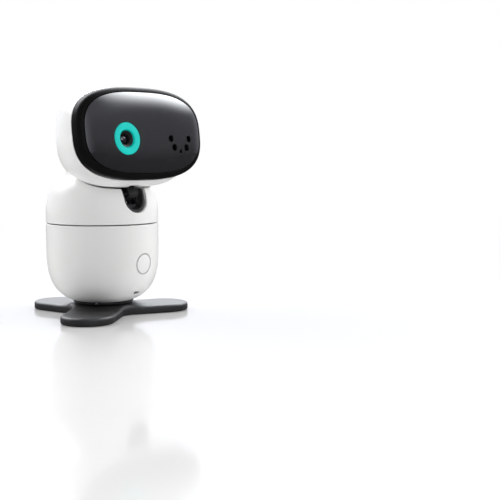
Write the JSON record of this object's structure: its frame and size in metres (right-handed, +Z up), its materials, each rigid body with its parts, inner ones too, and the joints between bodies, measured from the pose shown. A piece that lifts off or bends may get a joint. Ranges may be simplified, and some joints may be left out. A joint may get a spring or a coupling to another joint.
{
  "type": "baby monitor camera",
  "caption": "Pan and tilt nursery camera: pill-shaped head with a black face and a glowing lens ring, on a round body held by a bendable mount.",
  "frame": {"origin": "on the table under the middle of the body, at the underside of the mount", "axes": "+Z up; the base and its front ring face -Y; +X is to the right of someone who looks at the front"},
  "size_m": [0.0957, 0.0972, 0.1305],
  "materials": {
    "gloss_white": "high gloss moulded white",
    "gloss_black": "polished black",
    "satin_black": "satin black moulding",
    "black_rubber": "soft matte rubber",
    "grey_plastic": "pale grey moulding",
    "natural_plastic": "undyed gear plastic",
    "teal_light_guide": "translucent light guide, lit teal",
    "lens_glass": "coated lens glass",
    "smoked_window": "infrared-clear black resin",
    "circuit_board": "green solder mask",
    "steel": "bright plated steel"
  },
  "bodies": {
    "mount": {"mount_hub": "black_rubber", "mount_magnet": "steel"},
    "leg_front_right": {"leg_front_right": "black_rubber", "leg_core_front_right": "steel"},
    "leg_rear": {"leg_rear": "black_rubber", "leg_core_rear": "steel"},
    "leg_front_left": {"leg_front_left": "black_rubber", "leg_core_front_left": "steel"},
    "base": {"lower_shell": "gloss_white", "bottom_plate": "satin_black", "plate_screw_1": "steel", "plate_screw_2": "steel", "plate_screw_3": "steel", "base_magnet": "steel", "base_chassis": "natural_plastic", "base_board": "circuit_board", "power_inlet": "satin_black", "microphone": "satin_black", "speaker": "satin_black", "pan_motor": "steel", "base_deck": "natural_plastic", "pan_bearing": "steel", "front_ring": "grey_plastic"},
    "pan_pinion": {"pan_pinion": "natural_plastic"},
    "pair_button": {"pair_button": "grey_plastic"},
    "power_switch": {"power_switch": "grey_plastic"},
    "turret": {"upper_shell": "gloss_white", "turret_floor": "natural_plastic", "slot_liner": "satin_black", "guide_left": "satin_black", "guide_right": "satin_black", "tilt_motor": "steel", "pan_gear": "natural_plastic", "floor_screw_1": "steel", "floor_screw_2": "steel", "floor_screw_3": "steel"},
    "tilt_pinion": {"tilt_pinion": "natural_plastic"},
    "head": {"head_shell": "gloss_white", "bezel": "gloss_black", "face_panel": "gloss_black", "light_ring": "teal_light_guide", "lens_barrel": "satin_black", "lens_glass": "lens_glass", "ir_led_1": "smoked_window", "ir_led_2": "smoked_window", "ir_led_3": "smoked_window", "ir_led_4": "smoked_window", "light_sensor": "smoked_window", "camera_board": "circuit_board", "tilt_arm": "satin_black", "arm_screw_1": "steel", "arm_screw_2": "steel"}
  },
  "joints": [
    {"name": "leg_front_right_bend", "type": "hinge", "parent": "mount", "child": "leg_front_right", "pos_m": [0.01615, -0.00932, 0.0023], "axis": [-0.5, -0.866, 0], "range_deg": [-60, 45]},
    {"name": "leg_rear_bend", "type": "hinge", "parent": "mount", "child": "leg_rear", "pos_m": [0, 0.01865, 0.0023], "axis": [1, 0, 0], "range_deg": [-60, 45]},
    {"name": "leg_front_left_bend", "type": "hinge", "parent": "mount", "child": "leg_front_left", "pos_m": [-0.01615, -0.00932, 0.0023], "axis": [-0.5, 0.866, 0], "range_deg": [-60, 45]},
    {"name": "camera_lift", "type": "slide", "parent": "mount", "child": "base", "axis": [0, 0, 1], "range_m": [0, 0.04]},
    {"name": "pan", "type": "hinge", "parent": "base", "child": "turret", "pos_m": [0, 0, 0.0536], "axis": [0, 0, 1], "range_deg": [-162, 178]},
    {"name": "pan_pinion_spin", "type": "hinge", "parent": "base", "child": "pan_pinion", "pos_m": [-0.01925, 0, 0.0463], "axis": [0, 0, 1], "range_deg": [-540, 490]},
    {"name": "tilt", "type": "hinge", "parent": "turret", "child": "head", "pos_m": [-0.00194, -0.01376, 0.10187], "axis": [0.9903, -0.1392, 0], "range_deg": [-32, 2.5]},
    {"name": "tilt_pinion_spin", "type": "hinge", "parent": "turret", "child": "tilt_pinion", "pos_m": [-0.00223, -0.01584, 0.06187], "axis": [0.9903, -0.1392, 0], "range_deg": [-40, 240]},
    {"name": "pair_press", "type": "slide", "parent": "base", "child": "pair_button", "axis": [0, -1, 0], "range_m": [0, 0.0008], "stiffness_N_per_m": 1500},
    {"name": "power_slide", "type": "slide", "parent": "base", "child": "power_switch", "axis": [1, 0, 0], "range_m": [0, 0.0042]}
  ],
  "couplings": [
    {"joint": "pan_pinion_spin", "follows": "pan", "ratio": -3},
    {"joint": "tilt_pinion_spin", "follows": "tilt", "ratio": -7.3333}
  ]
}
